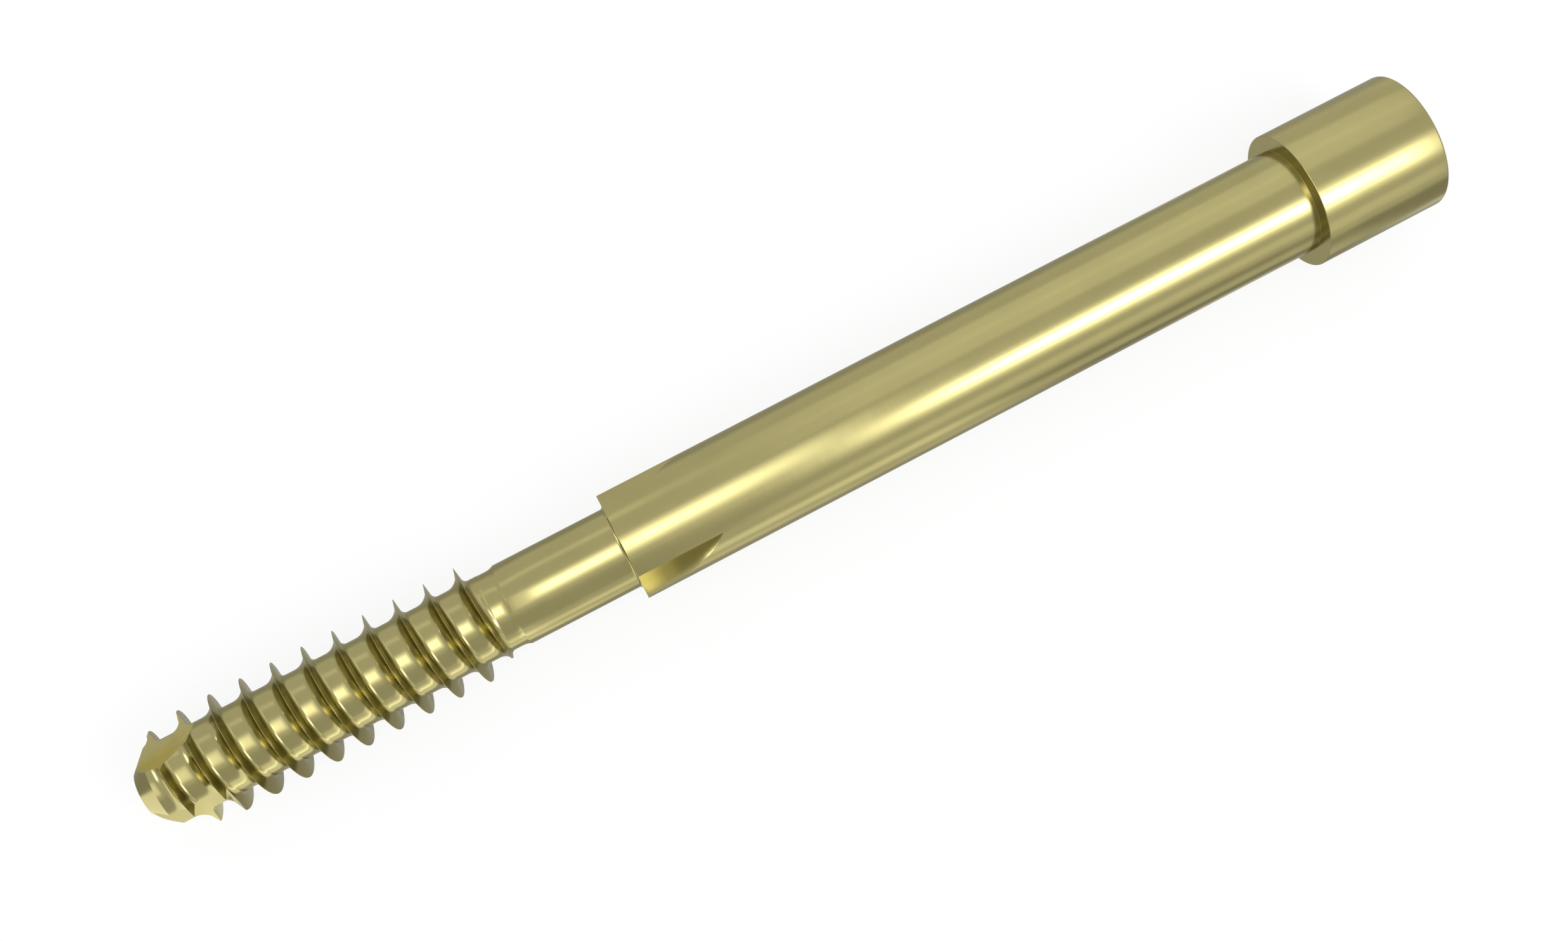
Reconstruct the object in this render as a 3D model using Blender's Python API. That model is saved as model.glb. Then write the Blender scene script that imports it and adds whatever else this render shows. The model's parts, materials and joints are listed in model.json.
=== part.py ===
"""A bone screw for fixing a fracture: threaded tip, plain neck, barrel and round head, cut from one bar.

Metres, +Z up. The screw lies on its side as it comes to rest, with its head towards +X.
Its origin is on the surface it lies on, under the middle of its length.
"""

import math

import bmesh
import bpy
from mathutils import Vector

MM = 0.001

# Lengths along the screw, in millimetres, from the flat at the tip
THREADED_LENGTH = 27.54
NECK_LENGTH = 8.53
BARREL_LENGTH = 54.06
HEAD_LENGTH = 9.87

# Diameters, in millimetres
THREAD_DIAMETER = 8.2
ROOT_DIAMETER = 5.78
NECK_DIAMETER = 6.06
BARREL_DIAMETER = 8.0
HEAD_DIAMETER = 10.34

# Conical nose, in millimetres and degrees
NOSE_FLAT_DIAMETER = 3.35
NOSE_ANGLE = 44.0

# Right-hand thread: one tooth each pitch, steep towards the head and hollowed towards the tip
PITCH = 2.305
CREST_WIDTH = 0.05
HEAD_FLANK_ANGLE = 8.5
HEAD_FLANK_HEIGHT = 0.97
HEAD_BLEND_LENGTH = 0.38
TIP_FLANK_ANGLE = 16.0
TIP_FLANK_HEIGHT = 0.73
TIP_BLEND_LENGTH = 0.97
BLEND_POWER = 2.6
CREST_AT_ZERO_DEGREES = 1.965

# Groove turned where the thread ends, which leaves no feather edge
RELIEF_WIDTH = 1.73
RELIEF_EXTRA_DEPTH = 0.02
RELIEF_BLEND_LENGTH = 0.75

# Three chip flutes through the first threads
FLUTE_COUNT = 3
FLUTE_ANGLE = 22.0
FLUTE_FLOOR_HEIGHT = 1.87
FLUTE_STRAIGHT_LENGTH = 2.07
FLUTE_RUN_OUT_RADIUS = 5.0

# Three reaming grooves in the front edge of the barrel
GROOVE_COUNT = 3
GROOVE_ANGLE = 53.5
GROOVE_FLOOR_HEIGHT = 3.08
GROOVE_RUN_OUT_RADIUS = 9.6

# Hexagon socket for the driver, in the end of the head
SOCKET_ACROSS_FLATS = 5.0
SOCKET_DEPTH = 5.5
SOCKET_PILOT_DIAMETER = 4.6
SOCKET_PILOT_DEPTH = 6.0
SOCKET_DRILL_ANGLE = 59.0
SOCKET_CHAMFER_WIDTH = 0.2

# Fillets and the broken edge of the head
SHOULDER_FILLET = 0.22
HEAD_FILLET = 0.1
HEAD_EDGE_CHAMFER = 0.1

# Facets: one of each ring's faces points straight down, so the screw doesn't rock
COLUMNS = 42
FILLET_STEPS = 3
ARC_STEPS = 10
BLEND_STEPS = 2

# How far a cutter stands past the surface that it cuts, and the distance within which points weld
OVERCUT = 1.5
WELD = 0.002

NECK_START = THREADED_LENGTH
BARREL_START = NECK_START + NECK_LENGTH
HEAD_START = BARREL_START + BARREL_LENGTH
HEAD_END = HEAD_START + HEAD_LENGTH
THREAD_RADIUS = THREAD_DIAMETER / 2
ROOT_RADIUS = ROOT_DIAMETER / 2
NECK_RADIUS = NECK_DIAMETER / 2
BARREL_RADIUS = BARREL_DIAMETER / 2
HEAD_RADIUS = HEAD_DIAMETER / 2
NOSE_FLAT_RADIUS = NOSE_FLAT_DIAMETER / 2
CUTTER_RADIUS = max(THREAD_RADIUS, BARREL_RADIUS, HEAD_RADIUS) + OVERCUT


def clear_scene():
    for thing in list(bpy.data.objects):
        bpy.data.objects.remove(thing)


def column_angles():
    """Angles about the screw's axis, from +Y towards +Z, with a flat facet at the bottom."""
    step = 2 * math.pi / COLUMNS
    return [-math.pi / 2 + (i + 0.5) * step for i in range(COLUMNS)]


def around(x, radius, angle):
    return Vector((x, radius * math.cos(angle), radius * math.sin(angle)))


# Thread form: distances along the axis from the middle of the crest, towards the head


def blend(start, length, height, steps):
    """A hollow blend from a flank's foot down to the root, without its first point."""
    points = []
    for i in range(1, steps + 1):
        share = i / steps
        rise = height * (1 - share) ** BLEND_POWER
        points.append((start + length * share, ROOT_RADIUS + rise))
    return points


def flank(angle, height):
    """Half of the crest and one straight flank, as (distance, radius) from the top down."""
    top = CREST_WIDTH / 2
    foot = top + height * math.tan(math.radians(angle))
    return [(top, THREAD_RADIUS), (foot, THREAD_RADIUS - height)]


def head_side():
    points = flank(HEAD_FLANK_ANGLE, HEAD_FLANK_HEIGHT)
    start, radius = points[-1]
    return points + blend(start, HEAD_BLEND_LENGTH, radius - ROOT_RADIUS, BLEND_STEPS)


def tip_side():
    points = flank(TIP_FLANK_ANGLE, TIP_FLANK_HEIGHT)
    start, radius = points[-1]
    return points + blend(start, TIP_BLEND_LENGTH, radius - ROOT_RADIUS, BLEND_STEPS)


def tooth():
    """One tooth from the tip side's root over the crest to the head side's root."""
    rising = [(-distance, radius) for distance, radius in reversed(tip_side())]
    return rising + head_side()


def radius_at(distance):
    """The thread's radius at a distance from a crest, which may be some pitches away."""
    form = tooth()
    low = form[0][0]
    distance = (distance - low) % PITCH + low
    for (x0, r0), (x1, r1) in zip(form, form[1:]):
        if distance <= x1:
            return r0 + (r1 - r0) * (distance - x0) / (x1 - x0)
    return ROOT_RADIUS


def crest_x(angle):
    """Where the crest stands at an angle: a right-hand thread advances one pitch each turn."""
    return CREST_AT_ZERO_DEGREES + PITCH * angle / (2 * math.pi)


class ThreadedRod:
    """The rows of points of a threaded rod, which end on two flat planes."""

    def __init__(self, mesh, low, high):
        self.mesh = mesh
        self.low = low
        self.high = high
        self.form = tooth()
        self.angles = column_angles()
        self.points = {}
        first_turn = math.floor((low - crest_x(self.angles[-1])) / PITCH) - 1
        last_turn = math.ceil((high - crest_x(self.angles[0])) / PITCH) + 1
        self.rows = range(first_turn * len(self.form), last_turn * len(self.form))

    def point(self, row, column):
        """The point of a row at a column. Past the last column it is the next turn's first one."""
        if column == COLUMNS:
            row += len(self.form)
            column = 0
        turn, place = divmod(row, len(self.form))
        crest = crest_x(self.angles[column])
        distance, radius = self.form[place]
        x = crest + turn * PITCH + distance
        key = (row, column)
        if x <= self.low:
            x, key = self.low, ("low", column)
            radius = radius_at(x - crest)
        elif x >= self.high:
            x, key = self.high, ("high", column)
            radius = radius_at(x - crest)
        if key not in self.points:
            self.points[key] = self.mesh.verts.new(around(x, radius, self.angles[column]))
        return self.points[key]

    def skin(self):
        for row in self.rows:
            for column in range(COLUMNS):
                corners = [
                    self.point(row, column),
                    self.point(row + 1, column),
                    self.point(row + 1, column + 1),
                    self.point(row, column + 1),
                ]
                distinct = list(dict.fromkeys(corners))
                if len(distinct) > 2:
                    self.mesh.faces.new(distinct)

    def end(self, name):
        return [self.points[(name, column)] for column in range(COLUMNS)]


def join_rings(mesh, lower, upper):
    for i in range(len(lower)):
        following = (i + 1) % len(lower)
        mesh.faces.new((lower[i], upper[i], upper[following], lower[following]))


def fillet(x, radius, size):
    """A hollow fillet from a cylinder of a radius up to a shoulder face at x."""
    points = []
    for i in range(FILLET_STEPS + 1):
        turn = math.pi / 2 * i / FILLET_STEPS
        points.append((x - size + size * math.sin(turn), radius + size - size * math.cos(turn)))
    return points


def turned_outline(start):
    """Neck, barrel and head as (x, radius), from stock that the relief groove removes."""
    stock = THREAD_RADIUS + OVERCUT
    return [
        (start, stock),
        (NECK_START - RELIEF_BLEND_LENGTH / 4, stock),
        (NECK_START - RELIEF_BLEND_LENGTH / 4, NECK_RADIUS),
        *fillet(BARREL_START, NECK_RADIUS, SHOULDER_FILLET),
        (BARREL_START, BARREL_RADIUS),
        *fillet(HEAD_START, BARREL_RADIUS, HEAD_FILLET),
        (HEAD_START, HEAD_RADIUS),
        (HEAD_END - HEAD_EDGE_CHAMFER, HEAD_RADIUS),
        (HEAD_END, HEAD_RADIUS - HEAD_EDGE_CHAMFER),
    ]


def make_object(name, mesh):
    """An object whose mesh is in millimetres, in which the cuts keep their small details."""
    bmesh.ops.recalc_face_normals(mesh, faces=mesh.faces)
    data = bpy.data.meshes.new(name)
    mesh.to_mesh(data)
    mesh.free()
    made = bpy.data.objects.new(name, data)
    bpy.context.collection.objects.link(made)
    return made


def threaded_blank():
    """The whole screw before the nose, the relief groove, the flutes and the socket are cut."""
    mesh = bmesh.new()
    relief_middle = NECK_START - RELIEF_WIDTH / 2
    rod = ThreadedRod(mesh, -OVERCUT, relief_middle)
    rod.skin()
    mesh.faces.new(reversed(rod.end("low")))
    ring = rod.end("high")
    for x, radius in turned_outline(relief_middle):
        following = [mesh.verts.new(around(x, radius, angle)) for angle in rod.angles]
        join_rings(mesh, ring, following)
        ring = following
    mesh.faces.new(ring)
    return make_object("bone_screw", mesh)


def turned_cutter(name, outline):
    """A cutter turned about the axis. Its outline (x, radius) starts and ends on the axis or closes."""
    mesh = bmesh.new()
    rings = []
    for x, radius in outline:
        if radius == 0:
            rings.append([mesh.verts.new((x, 0, 0))])
        else:
            rings.append([mesh.verts.new(around(x, radius, angle)) for angle in column_angles()])
    if len(rings[0]) > 1:
        rings.append(rings[0])
    for lower, upper in zip(rings, rings[1:]):
        if len(lower) > 1 and len(upper) > 1:
            join_rings(mesh, lower, upper)
            continue
        ring, apex = (lower, upper[0]) if len(lower) > 1 else (upper, lower[0])
        for i in range(COLUMNS):
            mesh.faces.new((ring[i], ring[(i + 1) % COLUMNS], apex))
    return make_object(name, mesh)


def extruded_cutter(name, outline, origin_height, height, angle):
    """A cutter drawn as (x, sideways) points and extruded outwards along an angle about the axis.

    Sideways is at a right angle to the extrusion, towards increasing angles.
    """
    outwards = around(0, 1, angle)
    sideways = around(0, 1, angle + math.pi / 2)
    mesh = bmesh.new()
    levels = []
    for level in (origin_height, origin_height + height):
        corners = [Vector((x, 0, 0)) + sideways * s + outwards * level for x, s in outline]
        levels.append([mesh.verts.new(corner) for corner in corners])
    join_rings(mesh, *levels)
    mesh.faces.new(levels[0])
    mesh.faces.new(levels[1])
    return make_object(name, mesh)


def run_out(x, start, radius, rise, direction):
    """An arc that leaves a straight line at x and start, and has risen by rise at its end."""
    sweep = math.acos(1 - rise / radius)
    points = []
    for i in range(ARC_STEPS + 1):
        turn = sweep * i / ARC_STEPS
        points.append((x + radius * math.sin(turn), start + direction * radius * (1 - math.cos(turn))))
    return points


def nose_cutter():
    """Removes what lies ahead of the tip's flat and outside its cone."""
    reach = (CUTTER_RADIUS - NOSE_FLAT_RADIUS) / math.tan(math.radians(NOSE_ANGLE))
    outline = [
        (0, 0),
        (0, NOSE_FLAT_RADIUS),
        (reach, CUTTER_RADIUS),
        (-2 * OVERCUT, CUTTER_RADIUS),
        (-2 * OVERCUT, 0),
    ]
    return turned_cutter("nose_cutter", outline)


def relief_cutter():
    """The groove that ends the thread: a tooth's head side, a plain root and a blend to the neck."""
    start = NECK_START - RELIEF_WIDTH
    floor = ROOT_RADIUS - RELIEF_EXTRA_DEPTH
    lean = math.tan(math.radians(HEAD_FLANK_ANGLE))
    outline = [(start + CREST_WIDTH / 2 - lean * (CUTTER_RADIUS - THREAD_RADIUS), CUTTER_RADIUS)]
    outline += [(start + distance, radius - RELIEF_EXTRA_DEPTH) for distance, radius in head_side()]
    rise = NECK_RADIUS - floor
    for i in range(1, ARC_STEPS // 2 + 1):
        share = i / (ARC_STEPS // 2)
        x = NECK_START - RELIEF_BLEND_LENGTH * (1 - share)
        outline.append((x, floor + rise * share**BLEND_POWER))
    end_slope = BLEND_POWER * rise / RELIEF_BLEND_LENGTH
    outline.append((NECK_START + (CUTTER_RADIUS - NECK_RADIUS) / end_slope, CUTTER_RADIUS))
    return turned_cutter("relief_cutter", outline)


def flute_cutter(number):
    """An L-shaped cut: a radial wall and a floor at a right angle, which runs out in an arc."""
    wall_angle = math.radians(FLUTE_ANGLE + number * 360 / FLUTE_COUNT)
    top = THREAD_RADIUS + OVERCUT
    rise = top - FLUTE_FLOOR_HEIGHT
    outline = [(-2 * OVERCUT, FLUTE_FLOOR_HEIGHT)]
    outline += run_out(FLUTE_STRAIGHT_LENGTH, FLUTE_FLOOR_HEIGHT, FLUTE_RUN_OUT_RADIUS, rise, 1)
    outline += [(-2 * OVERCUT, top)]
    turned = [(x, -height) for x, height in outline]
    facing = wall_angle + math.pi / 2
    return extruded_cutter(f"flute_cutter_{number}", turned, 0, top, facing)


def groove_cutter(number):
    """A flat floor along the screw, with a wall that starts radial and swings out to the surface."""
    floor_angle = math.radians(GROOVE_ANGLE + number * 360 / GROOVE_COUNT)
    half_width = math.sqrt(BARREL_RADIUS**2 - GROOVE_FLOOR_HEIGHT**2)
    side = half_width + OVERCUT
    front = BARREL_START - OVERCUT
    outline = [(front, 0)]
    outline += run_out(BARREL_START, 0, GROOVE_RUN_OUT_RADIUS, side, -1)
    outline += [(front, -side)]
    height = BARREL_RADIUS + OVERCUT - GROOVE_FLOOR_HEIGHT
    return extruded_cutter(f"groove_cutter_{number}", outline, GROOVE_FLOOR_HEIGHT, height, floor_angle)


def hexagon_cutter():
    corner = SOCKET_ACROSS_FLATS / math.sqrt(3)
    mesh = bmesh.new()
    levels = []
    for x in (HEAD_END - SOCKET_DEPTH, HEAD_END + OVERCUT):
        levels.append([mesh.verts.new(around(x, corner, math.radians(60 * i))) for i in range(6)])
    join_rings(mesh, *levels)
    mesh.faces.new(levels[0])
    mesh.faces.new(levels[1])
    return make_object("hexagon_cutter", mesh)


def pilot_cutter():
    """The drilled hole under the hexagon, with its conical bottom, and the chamfer at its mouth."""
    radius = SOCKET_PILOT_DIAMETER / 2
    corner = SOCKET_ACROSS_FLATS / math.sqrt(3)
    mouth = corner + SOCKET_CHAMFER_WIDTH
    bottom = HEAD_END - SOCKET_PILOT_DEPTH
    outline = [
        (bottom - radius / math.tan(math.radians(SOCKET_DRILL_ANGLE)), 0),
        (bottom, radius),
        (HEAD_END - (mouth - radius), radius),
        (HEAD_END + OVERCUT, mouth + OVERCUT),
        (HEAD_END + OVERCUT, 0),
    ]
    return turned_cutter("pilot_cutter", outline)


def cut_away(screw, cutters):
    """Takes all the cutters' shapes out of the screw with one exact Boolean, and removes them."""
    group = bpy.data.collections.new("cutters")
    for cutter in cutters:
        group.objects.link(cutter)
    modifier = screw.modifiers.new("cuts", "BOOLEAN")
    modifier.operation = "DIFFERENCE"
    modifier.solver = "EXACT"
    modifier.operand_type = "COLLECTION"
    modifier.collection = group
    depsgraph = bpy.context.evaluated_depsgraph_get()
    screw.data = bpy.data.meshes.new_from_object(screw.evaluated_get(depsgraph))
    screw.modifiers.clear()
    for cutter in cutters:
        bpy.data.objects.remove(cutter)
    bpy.data.collections.remove(group)


def weld_and_scale(data):
    """Welds the points that the cuts left almost together, and turns millimetres into metres."""
    mesh = bmesh.new()
    mesh.from_mesh(data)
    bmesh.ops.triangulate(mesh, faces=mesh.faces)
    bmesh.ops.remove_doubles(mesh, verts=mesh.verts, dist=WELD)
    bmesh.ops.dissolve_degenerate(mesh, dist=WELD / 2, edges=mesh.edges)
    bmesh.ops.scale(mesh, vec=(MM, MM, MM), verts=mesh.verts)
    mesh.to_mesh(data)
    mesh.free()


def gold_titanium():
    material = bpy.data.materials.new("gold_anodised_titanium")
    material.use_nodes = True
    shader = material.node_tree.nodes["Principled BSDF"]
    shader.inputs["Base Color"].default_value = (0.46, 0.41, 0.17, 1)
    shader.inputs["Metallic"].default_value = 1
    shader.inputs["Roughness"].default_value = 0.25
    return material


def lay_down(screw):
    """Tilts the screw until its head's front edge and a crest near its tip touch the surface."""
    heel_x = HEAD_START * MM
    heel_z = -HEAD_RADIUS * math.cos(math.pi / COLUMNS) * MM
    points = [vertex.co for vertex in screw.data.vertices]
    ahead = [p for p in points if p.x < heel_x - WELD * MM]
    tilt = min(math.atan2(p.z - heel_z, heel_x - p.x) for p in ahead)
    along = [p.x * math.cos(tilt) - p.z * math.sin(tilt) for p in points]
    height = heel_x * math.sin(tilt) + heel_z * math.cos(tilt)
    screw.rotation_euler = (0, -tilt, 0)
    screw.location = (-(min(along) + max(along)) / 2, 0, -height)


def build():
    clear_scene()
    screw = threaded_blank()
    cutters = [nose_cutter(), relief_cutter(), hexagon_cutter(), pilot_cutter()]
    cutters += [flute_cutter(number) for number in range(FLUTE_COUNT)]
    cutters += [groove_cutter(number) for number in range(GROOVE_COUNT)]
    cut_away(screw, cutters)
    weld_and_scale(screw.data)
    screw.data.materials.clear()
    screw.data.materials.append(gold_titanium())
    screw.data.shade_smooth()
    screw.data.set_sharp_from_angle(angle=math.radians(25))
    lay_down(screw)


build()
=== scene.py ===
"""The visual model of the bone screw: a fine mesh of its design, the finish, the light and the camera."""

import json
import math

import bmesh
import bpy
from mathutils import Matrix, Vector


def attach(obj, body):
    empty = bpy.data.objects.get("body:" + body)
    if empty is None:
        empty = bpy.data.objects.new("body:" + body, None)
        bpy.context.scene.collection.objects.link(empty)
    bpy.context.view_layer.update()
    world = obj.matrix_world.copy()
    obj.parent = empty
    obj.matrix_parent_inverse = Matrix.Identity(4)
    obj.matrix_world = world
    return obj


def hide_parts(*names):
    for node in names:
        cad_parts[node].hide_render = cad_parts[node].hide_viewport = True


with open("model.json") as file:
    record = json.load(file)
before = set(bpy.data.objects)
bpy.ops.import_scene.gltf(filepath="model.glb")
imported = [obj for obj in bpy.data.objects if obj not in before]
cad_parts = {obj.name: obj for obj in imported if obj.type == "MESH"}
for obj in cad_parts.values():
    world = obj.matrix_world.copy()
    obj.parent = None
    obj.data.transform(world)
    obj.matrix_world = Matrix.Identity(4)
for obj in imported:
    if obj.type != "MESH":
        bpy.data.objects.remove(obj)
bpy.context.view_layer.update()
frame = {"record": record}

MM = 0.001

# Lengths along the screw, in millimetres, from the flat at the tip
THREADED_LENGTH = 27.54
NECK_LENGTH = 8.53
BARREL_LENGTH = 54.06
HEAD_LENGTH = 9.87

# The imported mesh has 42 facets around, and its lowest ones lie flat on the surface that carries the
# screw. This round mesh has the radius at which such a facet lies, so it rests on the same surface.
PACKED_COLUMNS = 42
FIT = math.cos(math.pi / PACKED_COLUMNS)

# Radii, in millimetres
THREAD_RADIUS = 4.1 * FIT
ROOT_RADIUS = 2.89 * FIT
NECK_RADIUS = 3.03 * FIT
BARREL_RADIUS = 4.0 * FIT
HEAD_RADIUS = 5.17 * FIT

# Conical nose
NOSE_FLAT_RADIUS = 1.675
NOSE_ANGLE = 44.0

# Right-hand thread: one tooth each pitch, steep towards the head and hollowed towards the tip
PITCH = 2.305
CREST_ROUND = 0.014
HEAD_FLANK_ANGLE = 8.5
HEAD_FLANK_HEIGHT = 0.97
HEAD_BLEND_LENGTH = 0.38
TIP_FLANK_ANGLE = 16.0
TIP_FLANK_HEIGHT = 0.73
TIP_BLEND_LENGTH = 0.97
BLEND_POWER = 2.6
CREST_AT_ZERO_DEGREES = 1.965

# Groove turned where the thread ends
RELIEF_WIDTH = 1.73
RELIEF_EXTRA_DEPTH = 0.02
RELIEF_BLEND_LENGTH = 0.75

# Three chip flutes through the first threads
FLUTE_COUNT = 3
FLUTE_ANGLE = 22.0
FLUTE_FLOOR_HEIGHT = 1.87
FLUTE_STRAIGHT_LENGTH = 2.07
FLUTE_RUN_OUT_RADIUS = 5.0

# Three reaming grooves in the front edge of the barrel
GROOVE_COUNT = 3
GROOVE_ANGLE = 53.5
GROOVE_FLOOR_HEIGHT = 3.08
GROOVE_RUN_OUT_RADIUS = 9.6

# Hexagon socket for the driver, in the end of the head
SOCKET_ACROSS_FLATS = 5.0
SOCKET_DEPTH = 5.5
SOCKET_PILOT_DIAMETER = 4.6
SOCKET_PILOT_DEPTH = 6.0
SOCKET_DRILL_ANGLE = 59.0
SOCKET_CHAMFER_WIDTH = 0.2

# Fillets and rounded edges
SHOULDER_FILLET = 0.22
HEAD_FILLET = 0.012
BARREL_EDGE_ROUND = 0.04
HEAD_FRONT_ROUND = 0.05
HEAD_REAR_ROUND = 0.16

# Fineness of the mesh
COLUMNS = 210
ARC_STEPS = 32
FILLET_STEPS = 8
ROUND_STEPS = 5
CREST_STEPS = 4
HEAD_BLEND_STEPS = 7
TIP_BLEND_STEPS = 11
PLAIN_ROW_LENGTH = 3.0

# How far a cutter stands past the surface that it cuts, and the distance within which points weld
OVERCUT = 1.5
WELD = 0.0015

# The attribute that keeps each point's place in the drawing, in millimetres, for the materials
DRAWN_PLACE = "drawing_mm"

NECK_START = THREADED_LENGTH
BARREL_START = NECK_START + NECK_LENGTH
HEAD_START = BARREL_START + BARREL_LENGTH
HEAD_END = HEAD_START + HEAD_LENGTH
CUTTER_RADIUS = HEAD_RADIUS + OVERCUT

# How far above the axis the mount on the head's end face lies
MOUNT_RADIUS = 4.0

# The camera: its place in millimetres along the screw's axis and out from it, at an angle about it from
# +Y towards +Z. There it would look straight at the axis, with the head on its right. From that it turns
# about its own up axis, tilts about its right axis and rolls about its backward axis, in degrees. The
# small shift of half a pixel puts the middle of the frame where the camera fitted to the photograph
# has it.
CAMERA_ALONG = 36.15
CAMERA_DISTANCE = 127.562
CAMERA_SIDE_ANGLE = 99.0
CAMERA_TURN = -5.5549
CAMERA_TILT = -0.2166
CAMERA_ROLL = -27.4497
CAMERA_LENS = 41.91559
CAMERA_SENSOR_WIDTH = 36
CAMERA_CLIP_START = 0.005
CAMERA_SHIFT = 0.5
PICTURE_WIDTH = 2473

# The finish: the oxide's two tints and the tint of its gloss, its roughness at the marks' lowest and
# highest places, and the scale of the tint's clouds, of the grain and of the marks, all per millimetre.
# The limits are the noise's values at which the tint and the roughness reach their ends. The bump is
# made of marks and grain in the given share, and its distance is in metres.
GOLD = (0.34, 0.303, 0.131, 1)
OLIVE = (0.325, 0.29, 0.126, 1)
GLOSS_TINT = (0.96, 0.94, 0.8, 1)
ROUGHNESS = (0.18, 0.21)
CLOUD_SCALE = 0.35
GRAIN_SCALE = 28.0
TURNED_MARKS = (14.0, 0.4, 0.4)
MILLED_MARKS = (0.5, 12.0, 12.0)
CLOUD_LIMITS = (0.35, 0.65)
MARKS_LIMITS = (0.3, 0.7)
MARKS_IN_BUMP = 0.7
BUMP_STRENGTH = 0.02
BUMP_DISTANCE = 0.00001
SHARP_EDGE_ANGLE = 28.0

# The floor, in metres from its middle, where its glow grows from the near share to the whole, and the
# surround's brightness as a light
FLOOR_HALF_SIZE = 2.0
FLOOR_COLOUR = (0.82, 0.82, 0.82, 1)
FLOOR_NEAR = 0.08
FLOOR_FAR = 0.4
FLOOR_NEAR_GLOW = 0.85
SURROUND_LIGHT = 0.68
WHITE = (1, 1, 1, 1)

# Strip lamps: name, angle about the screw's axis from +Y towards +Z, first and last place along the
# screw in millimetres, width in metres and radiance, where 1 is white. They stand at a distance from
# the screw's axis, and each a little behind the one before, all in metres. The white power is what makes
# an area lamp look white, in watts for each square metre of it.
LAMP_DISTANCE = 0.5
LAMP_SPACING = 0.004
WHITE_POWER = 4
LAMPS = (
    ("overhead_1", 98.5, -250.0, 110.0, 0.36, 0.6),
    ("overhead_2", 98.5, -115.0, 95.0, 0.25, 0.95),
    ("overhead_3", 98.5, -75.0, 80.0, 0.16, 1.2),
    ("overhead_4", 98.5, -25.0, 70.0, 0.08, 1.6),
    ("front_1", 124.5, 125.0, 500.0, 0.42, 0.55),
    ("front_2", 124.2, 140.0, 460.0, 0.28, 1.4),
    ("front_3", 123.6, 155.0, 395.0, 0.176, 2.4),
    ("front_4", 123.5, 172.0, 320.0, 0.09, 3.6),
    ("back_softbox", 43.0, 100.0, 480.0, 0.577, 0.28),
    ("back_rear_strip", 43.0, 100.0, 480.0, 0.1, 0.1),
    ("back_front_strip", 34.0, -300.0, 60.0, 0.12, 0.3),
    ("low_front_strip", 171.0, 85.0, 480.0, 0.16, 0.3),
    ("tip_lamp", 58.0, -1400.0, -760.0, 0.4, 5.0),
)

# Soft glowing cards on the floor, which only the metal reflects: they paint bright and dark reflections
# into it, painted highlights where the brightness is above 1, which is white, and painted shade below it.
# Each has its name, first and last place along the screw, the four places sideways where one starts, is
# full, is still full and ends, all in millimetres, and brightness. The first lies at the card height, and
# each a little above the one before. The height and the fades at the ends of the cards are in metres.
CARD_HEIGHT = 0.0002
CARD_END_FADE = 0.012
CARDS = (
    ("painted_ground_shade", -60.0, 150.0, -7.6, -6.4, 7.0, 27.0, 0.5),
    ("painted_head_reflection", 74.0, 96.0, -7.6, -6.4, 6.4, 10.0, 0.8),
    ("rear_dark_band", 64.0, 104.0, -5.6, -6.8, -8.6, -10.4, 0.42),
    ("rear_dark_field", 64.0, 104.0, -15.5, -20.0, -34.0, -60.0, 0.6),
    ("head_dark_field", 92.0, 160.0, -8.0, -10.5, -30.0, -45.0, 0.52),
    ("neck_light", -20.0, 40.0, -6.0, -7.4, -9.4, -11.0, 1.6),
    ("front_near_light", 30.0, 58.0, -7.4, -8.6, -9.6, -11.0, 1.3),
    ("front_far_light", -20.0, 72.0, -11.5, -16.0, -22.0, -34.0, 1.75),
    ("tip_light", -90.0, 8.0, 2.0, 0.0, -120.0, -160.0, 1.9),
    ("root_light", -8.0, 30.0, -11.0, -12.2, -15.4, -17.4, 3.3),
)

# One more such card, which stands in the air at the front and faces the screw and paints a darker
# reflection, painted shade, into the metal, with its angle about the axis and its distance from it in
# metres
AIR_CARD_ANGLE = 153.0
AIR_CARD_DISTANCE = 0.6
AIR_CARD_END_FADE = 0.06
AIR_CARD = ("front_shade", -700.0, 130.0, -265.0, -215.0, 215.0, 275.0, 0.78)


def column_angles():
    """Angles about the screw's axis, from +Y towards +Z, with a flat facet at the bottom."""
    step = 2 * math.pi / COLUMNS
    return [-math.pi / 2 + (i + 0.5) * step for i in range(COLUMNS)]


def around(x, radius, angle):
    return Vector((x, radius * math.cos(angle), radius * math.sin(angle)))


# Thread form: distances along the axis from the middle of the crest, towards the head


def flank(angle, height):
    """The crest's round and one straight flank, as (distance, radius) from the top down."""
    lean = math.radians(angle)
    points = []
    for i in range(CREST_STEPS + 1):
        turn = (math.pi / 2 - lean) * i / CREST_STEPS
        points.append((CREST_ROUND * math.sin(turn), THREAD_RADIUS - CREST_ROUND * (1 - math.cos(turn))))
    start, top = points[-1]
    foot = THREAD_RADIUS - height
    points.append((start + (top - foot) * math.tan(lean), foot))
    return points


def side(angle, height, blend_length, steps):
    """Half a tooth: half the crest, a straight flank and a hollow blend down to the root."""
    points = flank(angle, height)
    start, radius = points[-1]
    for i in range(1, steps + 1):
        share = i / steps
        rise = (radius - ROOT_RADIUS) * (1 - share) ** BLEND_POWER
        points.append((start + blend_length * share, ROOT_RADIUS + rise))
    return points


def head_side():
    return side(HEAD_FLANK_ANGLE, HEAD_FLANK_HEIGHT, HEAD_BLEND_LENGTH, HEAD_BLEND_STEPS)


def tooth():
    """One tooth from the tip side's root over the crest to the head side's root."""
    rising = side(TIP_FLANK_ANGLE, TIP_FLANK_HEIGHT, TIP_BLEND_LENGTH, TIP_BLEND_STEPS)
    return [(-distance, radius) for distance, radius in reversed(rising)] + head_side()[1:]


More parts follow.
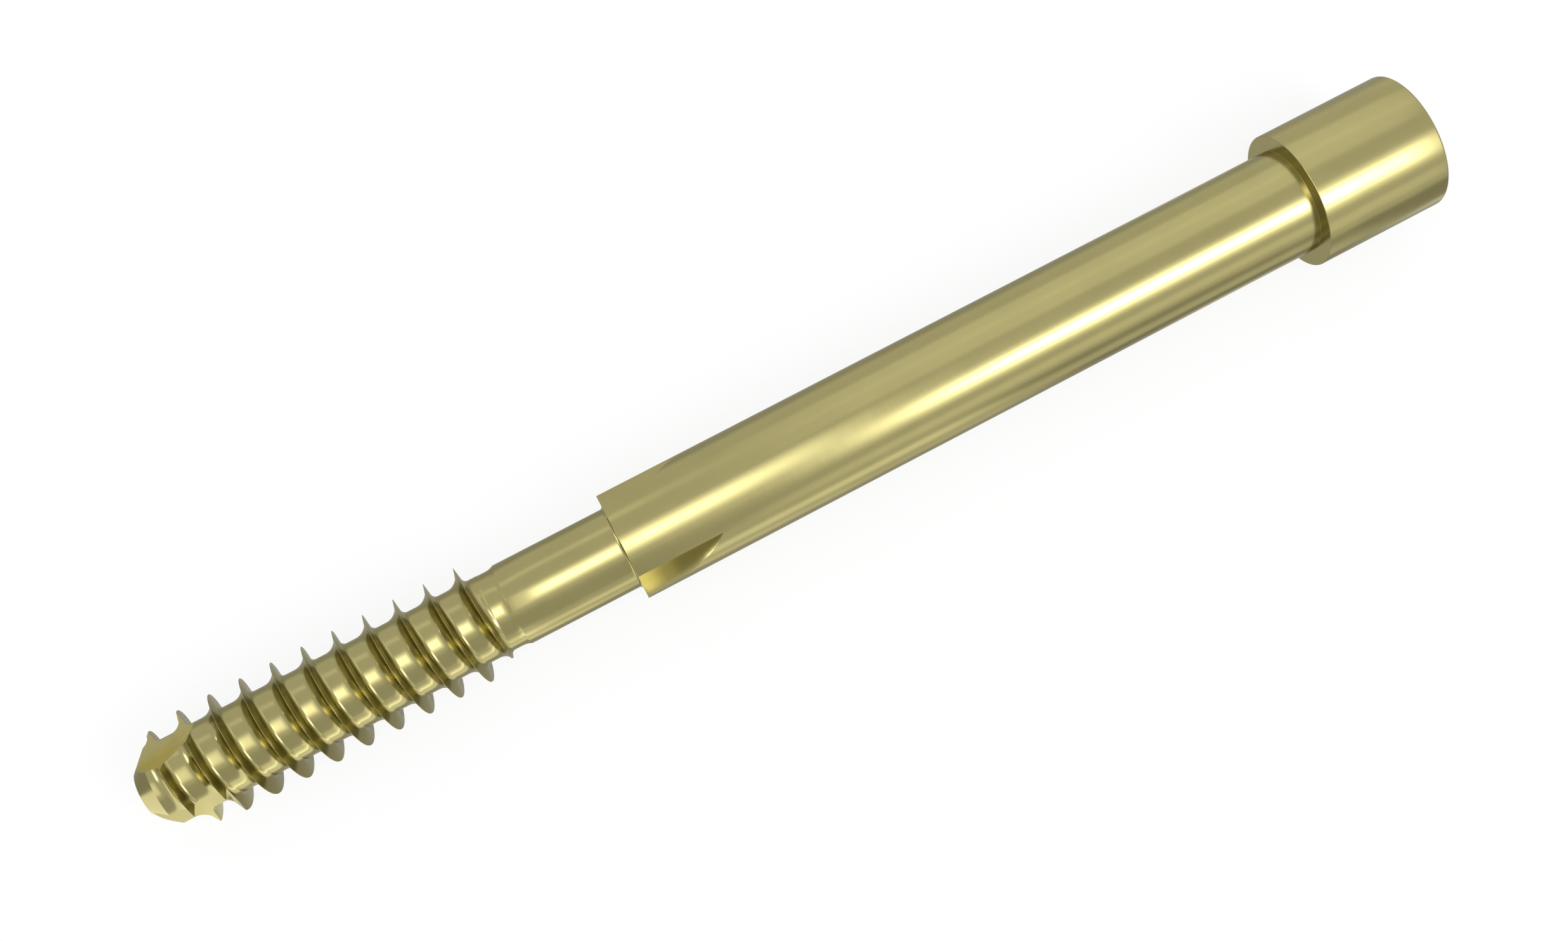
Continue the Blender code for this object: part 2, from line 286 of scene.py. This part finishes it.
def radius_at(form, distance):
    """The thread's radius at a distance from a crest, which may be some pitches away."""
    low = form[0][0]
    distance = (distance - low) % PITCH + low
    for (x0, r0), (x1, r1) in zip(form, form[1:]):
        if distance <= x1:
            return r0 + (r1 - r0) * (distance - x0) / (x1 - x0)
    return ROOT_RADIUS


def crest_x(angle):
    """Where the crest stands at an angle: a right-hand thread advances one pitch each turn."""
    return CREST_AT_ZERO_DEGREES + PITCH * angle / (2 * math.pi)


class ThreadedRod:
    """The rows of points of a threaded rod, which end on two flat planes."""

    def __init__(self, mesh, low, high):
        self.mesh = mesh
        self.low = low
        self.high = high
        self.form = tooth()
        self.angles = column_angles()
        self.points = {}
        first_turn = math.floor((low - crest_x(self.angles[-1])) / PITCH) - 1
        last_turn = math.ceil((high - crest_x(self.angles[0])) / PITCH) + 1
        self.rows = range(first_turn * len(self.form), last_turn * len(self.form))

    def point(self, row, column):
        """The point of a row at a column. Past the last column it is the next turn's first one."""
        if column == COLUMNS:
            row += len(self.form)
            column = 0
        turn, place = divmod(row, len(self.form))
        crest = crest_x(self.angles[column])
        distance, radius = self.form[place]
        x = crest + turn * PITCH + distance
        key = (row, column)
        if x <= self.low:
            x, key = self.low, ("low", column)
            radius = radius_at(self.form, x - crest)
        elif x >= self.high:
            x, key = self.high, ("high", column)
            radius = radius_at(self.form, x - crest)
        if key not in self.points:
            self.points[key] = self.mesh.verts.new(around(x, radius, self.angles[column]))
        return self.points[key]

    def skin(self):
        for row in self.rows:
            for column in range(COLUMNS):
                corners = [
                    self.point(row, column),
                    self.point(row + 1, column),
                    self.point(row + 1, column + 1),
                    self.point(row, column + 1),
                ]
                distinct = list(dict.fromkeys(corners))
                if len(distinct) > 2:
                    self.mesh.faces.new(distinct)

    def end(self, name):
        return [self.points[(name, column)] for column in range(COLUMNS)]


def join_rings(mesh, lower, upper):
    for i in range(len(lower)):
        following = (i + 1) % len(lower)
        mesh.faces.new((lower[i], upper[i], upper[following], lower[following]))


def fillet(x, radius, size):
    """A hollow fillet from a cylinder of a radius up to a shoulder face at x."""
    points = []
    for i in range(FILLET_STEPS + 1):
        turn = math.pi / 2 * i / FILLET_STEPS
        points.append((x - size + size * math.sin(turn), radius + size - size * math.cos(turn)))
    return points


def rising_round(x, radius, size):
    """A rounded edge from a face at x, which looks to the tip, to a cylinder of a radius."""
    points = []
    for i in range(ROUND_STEPS + 1):
        turn = math.pi / 2 * i / ROUND_STEPS
        points.append((x + size - size * math.cos(turn), radius - size + size * math.sin(turn)))
    return points


def falling_round(x, radius, size):
    """A rounded edge from a cylinder of a radius to a face at x, which looks to the head."""
    return [(2 * x - a, r) for a, r in reversed(rising_round(x, radius, size))]


def plain(start, end, radius):
    """Rows along a plain cylinder, without its two ends, so that its facets stay compact."""
    count = max(1, round((end - start) / PLAIN_ROW_LENGTH))
    return [(start + (end - start) * i / count, radius) for i in range(1, count)]


def turned_outline(start):
    """Neck, barrel and head as (x, radius), from stock that the relief groove removes."""
    stock = THREAD_RADIUS + OVERCUT
    neck = NECK_START - RELIEF_BLEND_LENGTH / 4
    return [
        (start, stock),
        (neck, stock),
        (neck, NECK_RADIUS),
        *plain(neck, BARREL_START - SHOULDER_FILLET, NECK_RADIUS),
        *fillet(BARREL_START, NECK_RADIUS, SHOULDER_FILLET),
        *rising_round(BARREL_START, BARREL_RADIUS, BARREL_EDGE_ROUND),
        *plain(BARREL_START + BARREL_EDGE_ROUND, HEAD_START - HEAD_FILLET, BARREL_RADIUS),
        *fillet(HEAD_START, BARREL_RADIUS, HEAD_FILLET),
        *rising_round(HEAD_START, HEAD_RADIUS, HEAD_FRONT_ROUND),
        *plain(HEAD_START + HEAD_FRONT_ROUND, HEAD_END - HEAD_REAR_ROUND, HEAD_RADIUS),
        *falling_round(HEAD_END, HEAD_RADIUS, HEAD_REAR_ROUND),
    ]


def make_object(name, mesh, material):
    """An object whose mesh is in millimetres, in which the cuts keep their small details."""
    bmesh.ops.recalc_face_normals(mesh, faces=mesh.faces)
    data = bpy.data.meshes.new(name)
    mesh.to_mesh(data)
    mesh.free()
    data.materials.append(material)
    made = bpy.data.objects.new(name, data)
    bpy.context.collection.objects.link(made)
    return made


def threaded_blank(material):
    """The whole screw before the nose, the relief groove, the flutes and the socket are cut."""
    mesh = bmesh.new()
    relief_middle = NECK_START - RELIEF_WIDTH / 2
    rod = ThreadedRod(mesh, -OVERCUT, relief_middle)
    rod.skin()
    mesh.faces.new(reversed(rod.end("low")))
    ring = rod.end("high")
    for x, radius in turned_outline(relief_middle):
        following = [mesh.verts.new(around(x, radius, angle)) for angle in rod.angles]
        join_rings(mesh, ring, following)
        ring = following
    mesh.faces.new(ring)
    return make_object("bone_screw_surface", mesh, material)


def turned_cutter(name, outline, material):
    """A cutter turned about the axis. Its outline (x, radius) starts and ends on the axis or closes."""
    mesh = bmesh.new()
    rings = []
    for x, radius in outline:
        if radius == 0:
            rings.append([mesh.verts.new((x, 0, 0))])
        else:
            rings.append([mesh.verts.new(around(x, radius, angle)) for angle in column_angles()])
    if len(rings[0]) > 1:
        rings.append(rings[0])
    for lower, upper in zip(rings, rings[1:]):
        if len(lower) > 1 and len(upper) > 1:
            join_rings(mesh, lower, upper)
            continue
        ring, apex = (lower, upper[0]) if len(lower) > 1 else (upper, lower[0])
        for i in range(COLUMNS):
            mesh.faces.new((ring[i], ring[(i + 1) % COLUMNS], apex))
    return make_object(name, mesh, material)


def extruded_cutter(name, outline, origin_height, height, angle, material):
    """A cutter drawn as (x, sideways) points and extruded outwards along an angle about the axis.

    Sideways is at a right angle to the extrusion, towards increasing angles.
    """
    outwards = around(0, 1, angle)
    sideways = around(0, 1, angle + math.pi / 2)
    mesh = bmesh.new()
    levels = []
    for level in (origin_height, origin_height + height):
        corners = [Vector((x, 0, 0)) + sideways * s + outwards * level for x, s in outline]
        levels.append([mesh.verts.new(corner) for corner in corners])
    join_rings(mesh, *levels)
    mesh.faces.new(levels[0])
    mesh.faces.new(levels[1])
    return make_object(name, mesh, material)


def run_out(x, start, radius, rise, direction):
    """An arc that leaves a straight line at x and start, and has risen by rise at its end."""
    sweep = math.acos(1 - rise / radius)
    points = []
    for i in range(ARC_STEPS + 1):
        turn = sweep * i / ARC_STEPS
        points.append((x + radius * math.sin(turn), start + direction * radius * (1 - math.cos(turn))))
    return points


def nose_cutter(material):
    """Removes what lies ahead of the tip's flat and outside its cone."""
    reach = (CUTTER_RADIUS - NOSE_FLAT_RADIUS) / math.tan(math.radians(NOSE_ANGLE))
    outline = [
        (0, 0),
        (0, NOSE_FLAT_RADIUS),
        (reach, CUTTER_RADIUS),
        (-2 * OVERCUT, CUTTER_RADIUS),
        (-2 * OVERCUT, 0),
    ]
    return turned_cutter("nose_cutter", outline, material)


def relief_cutter(material):
    """The groove that ends the thread: a tooth's head side, a plain root and a blend to the neck."""
    start = NECK_START - RELIEF_WIDTH
    floor = ROOT_RADIUS - RELIEF_EXTRA_DEPTH
    lean = math.tan(math.radians(HEAD_FLANK_ANGLE))
    falling = [(distance, radius - RELIEF_EXTRA_DEPTH) for distance, radius in head_side()[CREST_STEPS:]]
    top_distance, top_radius = falling[0]
    outline = [(start + top_distance - lean * (CUTTER_RADIUS - top_radius), CUTTER_RADIUS)]
    outline += [(start + distance, radius) for distance, radius in falling]
    rise = NECK_RADIUS - floor
    for i in range(1, FILLET_STEPS + 1):
        share = i / FILLET_STEPS
        x = NECK_START - RELIEF_BLEND_LENGTH * (1 - share)
        outline.append((x, floor + rise * share**BLEND_POWER))
    end_slope = BLEND_POWER * rise / RELIEF_BLEND_LENGTH
    outline.append((NECK_START + (CUTTER_RADIUS - NECK_RADIUS) / end_slope, CUTTER_RADIUS))
    return turned_cutter("relief_cutter", outline, material)


def flute_cutter(number, material):
    """An L-shaped cut: a radial wall and a floor at a right angle, which runs out in an arc."""
    wall_angle = math.radians(FLUTE_ANGLE + number * 360 / FLUTE_COUNT)
    top = THREAD_RADIUS + OVERCUT
    rise = top - FLUTE_FLOOR_HEIGHT
    outline = [(-2 * OVERCUT, FLUTE_FLOOR_HEIGHT)]
    outline += run_out(FLUTE_STRAIGHT_LENGTH, FLUTE_FLOOR_HEIGHT, FLUTE_RUN_OUT_RADIUS, rise, 1)
    outline += [(-2 * OVERCUT, top)]
    turned = [(x, -height) for x, height in outline]
    facing = wall_angle + math.pi / 2
    return extruded_cutter(f"flute_cutter_{number}", turned, 0, top, facing, material)


def groove_cutter(number, material):
    """A flat floor along the screw, with a wall that starts radial and swings out to the surface."""
    floor_angle = math.radians(GROOVE_ANGLE + number * 360 / GROOVE_COUNT)
    half_width = math.sqrt(BARREL_RADIUS**2 - GROOVE_FLOOR_HEIGHT**2)
    reach = half_width + OVERCUT
    front = BARREL_START - OVERCUT
    outline = [(front, 0)]
    outline += run_out(BARREL_START, 0, GROOVE_RUN_OUT_RADIUS, reach, -1)
    outline += [(front, -reach)]
    height = BARREL_RADIUS + OVERCUT - GROOVE_FLOOR_HEIGHT
    name = f"groove_cutter_{number}"
    return extruded_cutter(name, outline, GROOVE_FLOOR_HEIGHT, height, floor_angle, material)


def hexagon_cutter(material):
    corner = SOCKET_ACROSS_FLATS / math.sqrt(3)
    mesh = bmesh.new()
    levels = []
    for x in (HEAD_END - SOCKET_DEPTH, HEAD_END + OVERCUT):
        levels.append([mesh.verts.new(around(x, corner, math.radians(60 * i))) for i in range(6)])
    join_rings(mesh, *levels)
    mesh.faces.new(levels[0])
    mesh.faces.new(levels[1])
    return make_object("hexagon_cutter", mesh, material)


def pilot_cutter(material):
    """The drilled hole under the hexagon, with its conical bottom, and the chamfer at its mouth."""
    radius = SOCKET_PILOT_DIAMETER / 2
    corner = SOCKET_ACROSS_FLATS / math.sqrt(3)
    mouth = corner + SOCKET_CHAMFER_WIDTH
    bottom = HEAD_END - SOCKET_PILOT_DEPTH
    outline = [
        (bottom - radius / math.tan(math.radians(SOCKET_DRILL_ANGLE)), 0),
        (bottom, radius),
        (HEAD_END - (mouth - radius), radius),
        (HEAD_END + OVERCUT, mouth + OVERCUT),
        (HEAD_END + OVERCUT, 0),
    ]
    return turned_cutter("pilot_cutter", outline, material)


def cut_away(screw, cutters):
    """Takes all the cutters' shapes out of the screw with one exact Boolean, and removes them."""
    group = bpy.data.collections.new("cutters")
    for cutter in cutters:
        group.objects.link(cutter)
    modifier = screw.modifiers.new("cuts", "BOOLEAN")
    modifier.operation = "DIFFERENCE"
    modifier.solver = "EXACT"
    modifier.material_mode = "TRANSFER"
    modifier.operand_type = "COLLECTION"
    modifier.collection = group
    depsgraph = bpy.context.evaluated_depsgraph_get()
    screw.data = bpy.data.meshes.new_from_object(screw.evaluated_get(depsgraph))
    screw.modifiers.clear()
    for cutter in cutters:
        bpy.data.objects.remove(cutter)
    bpy.data.collections.remove(group)


def screw_place():
    """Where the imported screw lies: from its drawing, in metres, to the frame."""
    mounts = {mount["name"]: mount for mount in frame["record"]["mounts"]}
    along = Vector(mounts["head_end_face"]["axis"]).normalized()
    upward = Vector((-along.z, 0, along.x))
    on_face = Vector(mounts["head_end_face"]["pos_m"])
    start = on_face - upward * MOUNT_RADIUS * MM - along * HEAD_END * MM
    place = Matrix((along, (0, 1, 0), upward)).transposed().to_4x4()
    place.translation = start
    return place


def weld_and_place(data):
    """Welds the points that the cuts left almost together, and brings the mesh into the frame."""
    mesh = bmesh.new()
    mesh.from_mesh(data)
    bmesh.ops.triangulate(mesh, faces=mesh.faces)
    bmesh.ops.remove_doubles(mesh, verts=mesh.verts, dist=WELD)
    bmesh.ops.dissolve_degenerate(mesh, dist=WELD / 2, edges=mesh.edges)
    mesh.to_mesh(data)
    mesh.free()
    drawn = [tuple(vertex.co) for vertex in data.vertices]
    attribute = data.attributes.new(DRAWN_PLACE, "FLOAT_VECTOR", "POINT")
    attribute.data.foreach_set("vector", [value for point in drawn for value in point])
    data.transform(screw_place() @ Matrix.Scale(MM, 4))


class Nodes:
    """A material's node tree with short calls for what this script makes."""

    def __init__(self, name):
        self.material = bpy.data.materials.new(name)
        self.material.use_nodes = True
        self.tree = self.material.node_tree
        self.tree.nodes.clear()
        self.output = self.tree.nodes.new("ShaderNodeOutputMaterial")

    def add(self, kind, **settings):
        node = self.tree.nodes.new(kind)
        for name, value in settings.items():
            setattr(node, name, value)
        return node

    def link(self, source, target):
        self.tree.links.new(source, target)

    def put(self, node, name, value):
        """Links a socket or sets a plain value."""
        if isinstance(value, bpy.types.NodeSocket):
            self.link(value, node.inputs[name])
        else:
            node.inputs[name].default_value = value

    def math(self, operation, first, second=0.0, third=0.0):
        node = self.add("ShaderNodeMath", operation=operation)
        self.put(node, 0, first)
        self.put(node, 1, second)
        self.put(node, 2, third)
        return node.outputs[0]

    def noise(self, vector, scale, detail=2.0, roughness=0.5):
        node = self.add("ShaderNodeTexNoise")
        self.put(node, "Vector", vector)
        self.put(node, "Scale", scale)
        self.put(node, "Detail", detail)
        self.put(node, "Roughness", roughness)
        return node.outputs["Fac"]

    def stretched(self, vector, scale):
        node = self.add("ShaderNodeVectorMath", operation="MULTIPLY")
        self.put(node, 0, vector)
        self.put(node, 1, scale)
        return node.outputs[0]

    def remap(self, value, low, high, to_low, to_high):
        node = self.add("ShaderNodeMapRange")
        self.put(node, "Value", value)
        self.put(node, "From Min", low)
        self.put(node, "From Max", high)
        self.put(node, "To Min", to_low)
        self.put(node, "To Max", to_high)
        return node.outputs["Result"]

    def mix(self, factor, first, second):
        node = self.add("ShaderNodeMix", data_type="RGBA")
        self.put(node, "Factor", factor)
        self.put(node, 6, first)
        self.put(node, 7, second)
        return node.outputs[2]


def anodised(name, marks):
    """Anodised titanium: a slightly uneven oxide tint over fine tool marks of the given scale."""
    nodes = Nodes(name)
    place = nodes.add("ShaderNodeAttribute", attribute_name=DRAWN_PLACE).outputs["Vector"]
    clouds = nodes.noise(place, CLOUD_SCALE, detail=3.0)
    lines = nodes.noise(nodes.stretched(place, marks), 1.0, detail=3.0, roughness=0.6)
    grain = nodes.noise(place, GRAIN_SCALE)
    tint = nodes.mix(nodes.remap(clouds, *CLOUD_LIMITS, 0.0, 1.0), GOLD, OLIVE)
    fine = nodes.math("MULTIPLY", grain, 1 - MARKS_IN_BUMP)
    relief = nodes.math("MULTIPLY_ADD", lines, MARKS_IN_BUMP, fine)
    bumps = nodes.add("ShaderNodeBump")
    nodes.put(bumps, "Strength", BUMP_STRENGTH)
    nodes.put(bumps, "Distance", BUMP_DISTANCE)
    nodes.put(bumps, "Height", relief)
    shader = nodes.add("ShaderNodeBsdfPrincipled")
    nodes.put(shader, "Base Color", tint)
    nodes.put(shader, "Metallic", 1.0)
    nodes.put(shader, "Specular Tint", GLOSS_TINT)
    nodes.put(shader, "Roughness", nodes.remap(lines, *MARKS_LIMITS, *ROUGHNESS))
    nodes.put(shader, "Normal", bumps.outputs["Normal"])
    nodes.link(shader.outputs[0], nodes.output.inputs["Surface"])
    return nodes.material


def build_screw():
    turned = anodised("turned_gold_titanium", TURNED_MARKS)
    milled = anodised("milled_gold_titanium", MILLED_MARKS)
    screw = threaded_blank(turned)
    cutters = [nose_cutter(turned), relief_cutter(turned), hexagon_cutter(milled), pilot_cutter(turned)]
    cutters += [flute_cutter(number, milled) for number in range(FLUTE_COUNT)]
    cutters += [groove_cutter(number, milled) for number in range(GROOVE_COUNT)]
    cut_away(screw, cutters)
    weld_and_place(screw.data)
    screw.data.shade_smooth()
    screw.data.set_sharp_from_angle(angle=math.radians(SHARP_EDGE_ANGLE))
    return screw


def make_floor():
    """A white surface that shows the screw's soft shadow and that metal reflects as white.

    Further out, where the lamps don't reach it, it is the plain white of the surround.
    """
    mesh = bmesh.new()
    bmesh.ops.create_grid(mesh, x_segments=1, y_segments=1, size=FLOOR_HALF_SIZE)
    data = bpy.data.meshes.new("floor")
    mesh.to_mesh(data)
    mesh.free()
    nodes = Nodes("white_floor")
    path = nodes.add("ShaderNodeLightPath")
    seen = nodes.math("MAXIMUM", path.outputs["Is Camera Ray"], path.outputs["Is Glossy Ray"])
    seen = nodes.math("MAXIMUM", seen, path.outputs["Is Transmission Ray"])
    distance = nodes.add("ShaderNodeVectorMath", operation="LENGTH")
    nodes.link(nodes.add("ShaderNodeTexCoord").outputs["Object"], distance.inputs[0])
    share = nodes.remap(distance.outputs["Value"], FLOOR_NEAR, FLOOR_FAR, FLOOR_NEAR_GLOW, 1.0)
    paint = nodes.add("ShaderNodeBsdfDiffuse")
    nodes.put(paint, "Color", FLOOR_COLOUR)
    glow = nodes.add("ShaderNodeEmission")
    nodes.put(glow, "Color", WHITE)
    blend = nodes.add("ShaderNodeMixShader")
    nodes.put(blend, 0, nodes.math("MULTIPLY", seen, share))
    nodes.link(paint.outputs[0], blend.inputs[1])
    nodes.link(glow.outputs[0], blend.inputs[2])
    nodes.link(blend.outputs[0], nodes.output.inputs["Surface"])
    data.materials.append(nodes.material)
    floor = bpy.data.objects.new("floor", data)
    bpy.context.collection.objects.link(floor)


def make_world():
    """A plain surround: white where it is seen, also in metal, and softer where it lights the floor."""
    world = bpy.data.worlds.new("white_surround")
    bpy.context.scene.world = world
    world.use_nodes = True
    tree = world.node_tree
    tree.nodes.clear()
    path = tree.nodes.new("ShaderNodeLightPath")
    first = tree.nodes.new("ShaderNodeMath")
    first.operation = "MAXIMUM"
    second = tree.nodes.new("ShaderNodeMath")
    second.operation = "MAXIMUM"
    level = tree.nodes.new("ShaderNodeMapRange")
    level.inputs["To Min"].default_value = SURROUND_LIGHT
    level.inputs["To Max"].default_value = 1.0
    background = tree.nodes.new("ShaderNodeBackground")
    background.inputs["Color"].default_value = WHITE
    output = tree.nodes.new("ShaderNodeOutputWorld")
    tree.links.new(path.outputs["Is Camera Ray"], first.inputs[0])
    tree.links.new(path.outputs["Is Glossy Ray"], first.inputs[1])
    tree.links.new(first.outputs[0], second.inputs[0])
    tree.links.new(path.outputs["Is Transmission Ray"], second.inputs[1])
    tree.links.new(second.outputs[0], level.inputs["Value"])
    tree.links.new(level.outputs["Result"], background.inputs["Strength"])
    tree.links.new(background.outputs[0], output.inputs["Surface"])


def along_screw(x):
    """A place along the screw, in millimetres from its tip, as the frame's X in metres."""
    return (screw_place() @ Vector((x * MM, 0, 0))).x


def facing_screw(angle, distance):
    """A place at an angle about the screw's axis and a distance from it, whose +Z points outwards."""
    turn = math.radians(angle)
    outwards = Vector((0, math.cos(turn), math.sin(turn)))
    across = Vector((0, -math.sin(turn), math.cos(turn)))
    place = Matrix(((1, 0, 0), across, outwards)).transposed().to_4x4()
    place.translation = outwards * distance + Vector((0, 0, BARREL_RADIUS * MM))
    return place


def strip_lamp(number, name, angle, first, last, width, level):
    """A soft strip lamp along the screw, a little behind the lamp of the number before.

    Two lamps in one plane would hide each other in the metal, where their light has to add up.
    """
    start, end = along_screw(first), along_screw(last)
    lamp = bpy.data.lights.new(name, "AREA")
    lamp.shape = "RECTANGLE"
    lamp.size = end - start
    lamp.size_y = width
    lamp.energy = level * WHITE_POWER * lamp.size * lamp.size_y
    made = bpy.data.objects.new(name, lamp)
    bpy.context.collection.objects.link(made)
    place = facing_screw(angle, LAMP_DISTANCE + number * LAMP_SPACING)
    place.translation.x = (start + end) / 2
    made.matrix_world = place


def soft_step(nodes, value, low, high):
    """A smooth rise from 0 at low to 1 at high, or a fall where low is the higher one."""
    node = nodes.add("ShaderNodeMapRange", interpolation_type="SMOOTHSTEP")
    nodes.put(node, "Value", value)
    nodes.put(node, "From Min", low)
    nodes.put(node, "From Max", high)
    return node.outputs["Result"]


def soft_card(place, end_fade, name, first, last, start, full, still_full, end, level):
    """A glowing card with soft edges that only the metal's reflections show: a painted reflection, a
    painted highlight where its level is above white and painted shade below it.
    """
    low, high = along_screw(first), along_screw(last)
    mesh = bmesh.new()
    corners = ((low, start * MM), (high, start * MM), (high, end * MM), (low, end * MM))
    mesh.faces.new([mesh.verts.new((x, y, 0)) for x, y in corners])
    data = bpy.data.meshes.new(name)
    mesh.to_mesh(data)
    mesh.free()
    nodes = Nodes(name)
    split = nodes.add("ShaderNodeSeparateXYZ")
    nodes.link(nodes.add("ShaderNodeTexCoord").outputs["Object"], split.inputs[0])
    mask = soft_step(nodes, split.outputs["Y"], start * MM, full * MM)
    mask = nodes.math("MULTIPLY", mask, soft_step(nodes, split.outputs["Y"], end * MM, still_full * MM))
    mask = nodes.math("MULTIPLY", mask, soft_step(nodes, split.outputs["X"], low, low + end_fade))
    mask = nodes.math("MULTIPLY", mask, soft_step(nodes, split.outputs["X"], high, high - end_fade))
    glow = nodes.add("ShaderNodeEmission")
    nodes.put(glow, "Strength", level)
    clear = nodes.add("ShaderNodeBsdfTransparent")
    blend = nodes.add("ShaderNodeMixShader")
    nodes.put(blend, 0, mask)
    nodes.link(clear.outputs[0], blend.inputs[1])
    nodes.link(glow.outputs[0], blend.inputs[2])
    nodes.link(blend.outputs[0], nodes.output.inputs["Surface"])
    data.materials.append(nodes.material)
    card = bpy.data.objects.new(name, data)
    bpy.context.collection.objects.link(card)
    card.matrix_world = place
    card.visible_camera = False
    card.visible_diffuse = False
    card.visible_shadow = False


def make_camera():
    """The camera at the photograph's place, direction and field of view."""
    along = Vector((1, 0, 0))
    outwards = around(0, 1, math.radians(CAMERA_SIDE_ANGLE))
    straight_on = Matrix((along, outwards.cross(along), outwards)).transposed()
    turned = Matrix.Rotation(math.radians(CAMERA_TURN), 3, "Y")
    tilted = Matrix.Rotation(math.radians(CAMERA_TILT), 3, "X")
    rolled = Matrix.Rotation(math.radians(CAMERA_ROLL), 3, "Z")
    pose = (straight_on @ turned @ tilted @ rolled).to_4x4()
    pose.translation = (along * CAMERA_ALONG + outwards * CAMERA_DISTANCE) * MM
    lens = bpy.data.cameras.new("photo_camera")
    lens.lens = CAMERA_LENS
    lens.sensor_width = CAMERA_SENSOR_WIDTH
    lens.clip_start = CAMERA_CLIP_START
    lens.shift_x = -CAMERA_SHIFT / PICTURE_WIDTH
    lens.shift_y = CAMERA_SHIFT / PICTURE_WIDTH
    camera = bpy.data.objects.new("photo_camera", lens)
    bpy.context.collection.objects.link(camera)
    camera.matrix_world = screw_place() @ pose
    bpy.context.scene.camera = camera


make_camera()
screw = build_screw()
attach(screw, "root")
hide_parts("bone_screw")
make_floor()
make_world()
for number, lamp in enumerate(LAMPS):
    strip_lamp(number, *lamp)
# Glowing cards that paint highlights and shade into the metal's reflections
for number, card in enumerate(CARDS):
    place = Matrix.Translation((0, 0, CARD_HEIGHT * (1 + number / len(CARDS))))
    soft_card(place, CARD_END_FADE, *card)
soft_card(facing_screw(AIR_CARD_ANGLE, AIR_CARD_DISTANCE), AIR_CARD_END_FADE, *AIR_CARD)
bpy.context.scene.view_settings.view_transform = "Standard"
